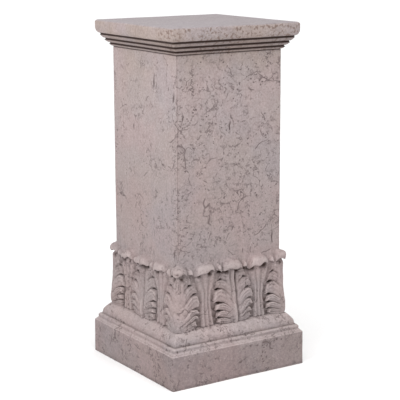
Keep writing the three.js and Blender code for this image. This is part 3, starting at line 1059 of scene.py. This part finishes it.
def lit_and_shaded_colour(n, colour, place, height, upward, front):
    """Painted shade that darkens it low down, painted light on the base's upward slopes, and
    painted shade on the plinth's sides.
    """
    # Painted shade: darker towards the bottom.
    colour = n.mix(n.step(height, *LOWER_HALF), colour, LOW_SHADE_TINT, "MULTIPLY")
    # Painted light: the base's upward slopes are paler, as if lit from above.
    lit_slopes = n.times(upward, n.step(height, *LIT_BASE, *LIT_BASE_STRENGTH))
    colour = n.mix(lit_slopes, colour, WORN_AND_LIT_STONE)
    # Painted shade on the plinth's upright sides, stronger on the front face.
    wavy_height = n.plus(height, n.step(n.noise(place, 14), 0.3, 0.7, *PLINTH_SHADE_WAVE))
    plinth_shade = n.times(n.step(wavy_height, *SHADED_PLINTH), n.minus(1.0, upward))
    plinth_shade = n.times(plinth_shade, n.plus(n.times(front, PLINTH_SHADE_IN_FRONT), PLINTH_SHADE_ROUND))
    return n.mix(plinth_shade, colour, PLINTH_SHADE_TINT, "MULTIPLY")


def grained(n, colour, place):
    """The colour with its fine mottle, its grain and faint upright streaks."""
    mottle = n.step(n.noise(place, 70, 3, 0.6), 0.3, 0.7, 0.955, 1.045)
    grain = n.step(n.noise(place, 210, 2, 0.5), 0.32, 0.68, 0.91, 1.08)
    upright = n.moved(place, scale=(1, 1, 0.06))
    streaks = n.step(n.noise(upright, 130, 3, 0.5), 0.3, 0.7, 0.975, 1.02)
    for shade in (mottle, grain, streaks):
        colour = n.mix(1.0, colour, shade, "MULTIPLY")
    return colour


def lines(n, vector, scale, width, detail):
    """Thin wandering lines, where a noise passes through its middle value."""
    away = n.math("ABSOLUTE", n.minus(n.noise(vector, scale, detail, 0.6), 0.5))
    return n.step(away, 0.0, width, 1.0, 0.0)


def where(n, place, density, scale, offset, *span):
    """Where marks of one kind are: a noise that the density raises."""
    return n.step(n.plus(n.noise(place, scale, 3, offset=offset), density), *span)


def veins(n, place, density):
    broken = n.step(n.noise(place, 50, 2), 0.4, 0.55)
    here = where(n, place, density, 9, (5, 2, 9), 0.5, 0.64)
    return n.times(lines(n, n.warped(place, 18, 0.03), 13, 0.01, 4), n.times(here, broken))


def cracks(n, place, density):
    edges = n.cells(n.warped(place, 11, 0.06), 7, "DISTANCE_TO_EDGE")
    here = where(n, place, density, 34, (7, 3, 5), 0.53, 0.62)
    return n.times(n.step(edges, 0.0, 0.009, 1.0, 0.0), here)


def ticks(n, place):
    """Short upright strokes."""
    upright = n.moved(place, (1, 1, 0.3), (9, 2, 7))
    return n.step(n.noise(upright, 62, 2), 0.7, 0.76)


def twigs(n, place, density):
    broken = n.step(n.noise(place, 95, 2), 0.42, 0.58)
    here = where(n, place, density, 16, (2, 6, 1), 0.42, 0.6)
    return n.times(lines(n, place, 42, 0.05, 3), n.times(here, broken))


def pits(n, place, density):
    size = where(n, place, density, 28, (1, 7, 4), 0.42, 0.75, 0.04, 0.3)
    spots = n.cells(n.warped(place, 120, 0.008), 120, "F1")
    return n.step(n.minus(size, spots), 0.0, 0.12)


def stone_marks(n, place, density):
    """All the marks, from 0 where the stone is plain to 1."""
    marks = n.times(veins(n, place, density), VEIN_STRENGTH)
    marks = n.most(marks, n.times(cracks(n, place, density), CRACK_STRENGTH))
    marks = n.most(marks, n.times(ticks(n, place), TICK_STRENGTH))
    marks = n.most(marks, n.times(twigs(n, place, density), TWIG_STRENGTH))
    return n.most(marks, n.times(pits(n, place, density), PIT_STRENGTH))


def mark_density(n, place, height, front):
    """How many marks there are: most on the shaft's front, and in clusters on the base."""
    round_it = n.step(height, *ON_SHAFT, *MARKS_ROUND)
    in_front = n.times(front, n.step(height, *ON_SHAFT, *MARKS_IN_FRONT))
    clusters = n.step(n.noise(place, 23, 2, offset=(9, 9, 1)), 0.52, 0.57, *MARKS_IN_CLUSTERS)
    on_base = n.times(clusters, n.step(height, *ON_BASE))
    in_band = n.times(n.step(height, *BAND_FOOT), n.step(height, *BAND_TOP, *MARKS_IN_BAND))
    return n.plus(n.plus(round_it, in_front), n.plus(on_base, in_band))


def speckled(n, colour, place, marks):
    """The colour with dark and pale specks, and with the marks."""
    dark = n.step(n.noise(place, 300, 2), 0.58, 0.7, *SPECK_STRENGTH)
    colour = n.mix(dark, colour, VEIN_BROWN)
    pale = n.step(n.noise(place, 260, 2, offset=(4, 4, 4)), 0.6, 0.72, *PALE_STRENGTH)
    colour = n.mix(pale, colour, PALE_SPECK)
    return n.mix(marks, colour, VEIN_BROWN)


def rust_on_cap(n, place, upward, front, on_cap):
    """Rust-brown pitting on the cap's sides, most on the front's."""
    rust = n.step(n.noise(place, 150, 3, offset=(6, 5, 3)), 0.5, 0.62, *RUST_STRENGTH)
    rust = n.times(rust, n.step(n.noise(place, 14, 3, offset=(2, 9, 8)), 0.36, 0.56))
    cap_side = n.times(on_cap, n.step(upward, 0.9, 0.4))
    return n.times(rust, n.times(cap_side, n.plus(front, RUST_ROUND)))


def shade_and_dirt_in_hollows(n, place, height, front, shade_and_dirt):
    """Painted shade and dirt where the mesh's value says the stone is dark, darkest in the cornice.
    """
    darkening = n.times(shade_and_dirt, n.step(n.noise(place, 60, 3), 0.2, 0.6, *DARKENING_PATCHES))
    strength = n.plus(n.step(height, *IN_CORNICE), DARKENING_STRENGTH)
    strength = n.plus(n.times(front, DARKENING_IN_FRONT), strength)
    return n.math("MULTIPLY", darkening, strength, clamp=True)


def stone_material():
    n = Nodes("cast_stone")
    place = n.add("ShaderNodeTexCoord", {}, "Object")
    upward = n.axis(n.add("ShaderNodeTexCoord", {}, "Normal"), "Z")
    height = n.axis(place, "Z")
    front = n.step(n.axis(place, "Y"), *FRONT_FACE)
    # The mesh's value of painted shade and dirt in hollows, and of wear.
    shade_and_dirt = n.add("ShaderNodeAttribute", {}, "Fac", attribute_name="shade_and_dirt")
    on_cap = n.step(height, *ON_CAP)
    level = n.step(upward, 0.2, 1.0)

    marks = stone_marks(n, place, mark_density(n, place, height, front))
    marks = n.times(marks, n.minus(1.0, n.times(on_cap, MARKS_OFF_CAP)))
    colour = patch_colour(n, place, height, level)
    colour = lit_and_shaded_colour(n, colour, place, height, level, front)
    colour = grained(n, colour, place)
    colour = n.mix(n.step(shade_and_dirt, 0.0, -1.0, *WORN_STRENGTH), colour, WORN_AND_LIT_STONE)
    colour = speckled(n, colour, place, marks)
    colour = n.mix(rust_on_cap(n, place, upward, front, on_cap), colour, RUST_BROWN)
    # Painted shade and dirt in the hollows.
    colour = n.mix(shade_and_dirt_in_hollows(n, place, height, front, shade_and_dirt), colour, SHADE_AND_DIRT_BROWN)
    n.feed(n.shader.inputs["Base Color"], colour)

    n.feed(n.shader.inputs["Roughness"], n.step(n.noise(place, 40), 0.3, 0.7, *ROUGHNESS))
    grain = n.times(n.noise(place, 380, 3, 0.6), GRAIN_RELIEF)
    relief = n.minus(grain, n.times(marks, MARK_RELIEF))
    inputs = {"Strength": RELIEF_STRENGTH, "Distance": RELIEF_DISTANCE, "Height": relief}
    n.feed(n.shader.inputs["Normal"], n.add("ShaderNodeBump", inputs))
    return n.material


def make_floor():
    bpy.ops.mesh.primitive_plane_add(size=FLOOR_SIZE)
    floor = bpy.context.object
    floor.name = "floor"
    n = Nodes("floor")
    n.feed(n.shader.inputs["Base Color"], FLOOR_WHITE)
    n.feed(n.shader.inputs["Roughness"], FLOOR_ROUGHNESS)
    floor.data.materials.append(n.material)


def add_light(name, kind, energy, place, aim=0.0):
    """A lamp that looks from its place at a point on the pedestal's axis, aim metres up."""
    light = bpy.data.lights.new(name, kind)
    light.energy = energy
    lamp = bpy.data.objects.new(name, light)
    lamp.location = place
    towards = Vector((0, 0, aim)) - lamp.location
    lamp.rotation_euler = towards.to_track_quat("-Z", "Y").to_euler()
    bpy.context.collection.objects.link(lamp)
    return light


def make_lights():
    world = bpy.data.worlds.new("studio")
    world.use_nodes = True
    background = world.node_tree.nodes["Background"]
    background.inputs["Color"].default_value = (1, 1, 1, 1)
    # The background itself is seen white, also above the floor's far edge.
    seen = world.node_tree.nodes.new("ShaderNodeLightPath").outputs["Is Camera Ray"]
    strength = world.node_tree.nodes.new("ShaderNodeMapRange")
    strength.inputs["To Min"].default_value = WORLD_STRENGTH
    world.node_tree.links.new(seen, strength.inputs["Value"])
    world.node_tree.links.new(strength.outputs["Result"], background.inputs["Strength"])
    bpy.context.scene.world = world
    bpy.context.scene.view_settings.view_transform = "Standard"
    sky = add_light("sky", "SUN", energy=1.6, place=(-0.08, -0.47, 1.05))
    sky.angle = math.radians(60)
    fill = add_light("fill", "SUN", energy=0.4, place=(0.8, 0.9, 0.9))
    fill.angle = math.radians(90)
    key_aim = TOTAL_HEIGHT * MM * KEY_AIM
    key = add_light("key", "AREA", energy=14, place=(-1.5, -0.6, 1.5), aim=key_aim)
    key.size = 0.8


def make_camera():
    azimuth = math.radians(CAMERA_AZIMUTH)
    tilt = math.radians(CAMERA_TILT)
    roll = math.radians(CAMERA_ROLL)
    camera = bpy.data.cameras.new("camera")
    camera.sensor_width = CAMERA_SENSOR
    camera.lens = CAMERA_LENS
    level_back = Vector((math.sin(azimuth), -math.cos(azimuth), 0))
    back = level_back * math.cos(tilt) + Vector((0, 0, math.sin(tilt)))
    right = Vector((math.cos(azimuth), math.sin(azimuth), 0))
    up = back.cross(right)
    turned_right = right * math.cos(roll) + up * math.sin(roll)
    turned_up = up * math.cos(roll) - right * math.sin(roll)
    rotation = Matrix((turned_right, turned_up, back)).transposed()
    place = back * CAMERA_DISTANCE + right * CAMERA_RIGHT + up * CAMERA_UP
    eye = bpy.data.objects.new("camera", camera)
    eye.matrix_world = Matrix.Translation(place) @ rotation.to_4x4()
    bpy.context.collection.objects.link(eye)
    bpy.context.scene.camera = eye


pedestal = make_pedestal()
pedestal.data.materials.append(stone_material())
make_floor()
make_lights()
make_camera()
